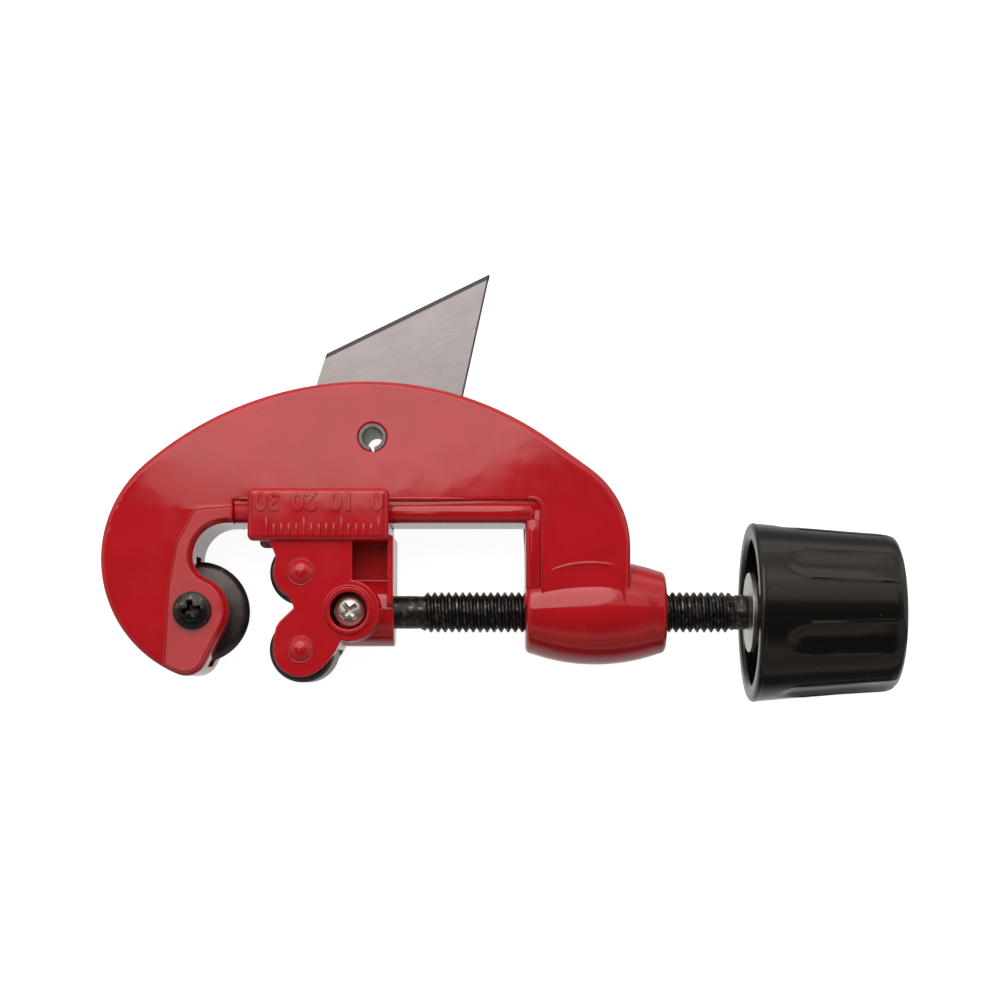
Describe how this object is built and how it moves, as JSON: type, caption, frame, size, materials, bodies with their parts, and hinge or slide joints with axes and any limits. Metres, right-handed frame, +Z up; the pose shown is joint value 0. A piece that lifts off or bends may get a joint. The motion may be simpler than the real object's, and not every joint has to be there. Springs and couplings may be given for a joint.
{
  "type": "pipe cutter",
  "caption": "Screw-fed C-frame pipe cutter with a cutting wheel, twin guide rollers on a sliding carriage, a fluted feed knob and a folding reamer blade.",
  "frame": {"origin": "centre of the bounding box, on the surface that the tool lies on", "axes": "+X along the feed spindle towards the knob, +Y from the jaw up to the arch and the open reamer, +Z up, square to the tool's middle plane"},
  "size_m": [0.1402, 0.0767, 0.0318],
  "materials": {
    "red_enamel": "glossy deep red enamel over a casting",
    "black_oxide": "black oxide, satin",
    "wheel_steel": "ground, oiled dark steel",
    "blade_steel": "satin grey sheet steel",
    "bright_steel": "bright zinc plate",
    "pin_steel": "plain spring steel",
    "knob_plastic": "semi-gloss black moulding"
  },
  "bodies": {
    "frame_body": {"frame": "red_enamel", "wheel_screw": "black_oxide", "wheel_nut": "black_oxide", "wheel_lock_washer": "black_oxide", "reamer_pin": "pin_steel", "reamer_spring_washer": "bright_steel", "reamer_spacer": "bright_steel"},
    "wheel_body": {"cutting_wheel": "wheel_steel"},
    "reamer_body": {"reamer_blade": "blade_steel"},
    "carriage_body": {"carriage": "red_enamel", "upper_roller_pin": "red_enamel", "lower_roller_pin": "red_enamel", "retaining_screw": "bright_steel"},
    "upper_roller_body": {"upper_roller": "wheel_steel"},
    "lower_roller_body": {"lower_roller": "wheel_steel"},
    "feed_body": {"spindle": "black_oxide", "spring_disc": "bright_steel", "spare_wheel": "wheel_steel", "knob": "knob_plastic", "knob_screw": "bright_steel", "knob_washer": "bright_steel"}
  },
  "joints": [
    {"name": "wheel_spin", "type": "hinge", "parent": "frame_body", "child": "wheel_body", "pos_m": [-0.05387, -0.02235, 0.016], "axis": [0, 0, 1], "continuous": true},
    {"name": "reamer_fold", "type": "hinge", "parent": "frame_body", "child": "reamer_body", "pos_m": [-0.02267, 0.00805, 0.016], "axis": [0, 0, 1], "range_deg": [-62, 0]},
    {"name": "carriage_slide", "type": "slide", "parent": "frame_body", "child": "carriage_body", "axis": [1, 0, 0], "range_m": [-0.0054, 0.0228]},
    {"name": "feed_screw", "type": "hinge", "parent": "carriage_body", "child": "feed_body", "pos_m": [-0.02286, -0.02235, 0.016], "axis": [1, 0, 0], "range_deg": [-1556, 6567]},
    {"name": "upper_roller_spin", "type": "hinge", "parent": "carriage_body", "child": "upper_roller_body", "pos_m": [-0.03497, -0.0156, 0.016], "axis": [0, 0, 1], "continuous": true},
    {"name": "lower_roller_spin", "type": "hinge", "parent": "carriage_body", "child": "lower_roller_body", "pos_m": [-0.03497, -0.0291, 0.016], "axis": [0, 0, 1], "continuous": true}
  ],
  "couplings": [
    {"joint": "feed_screw", "follows": "carriage_slide", "rad_per_m": 5026.5}
  ]
}
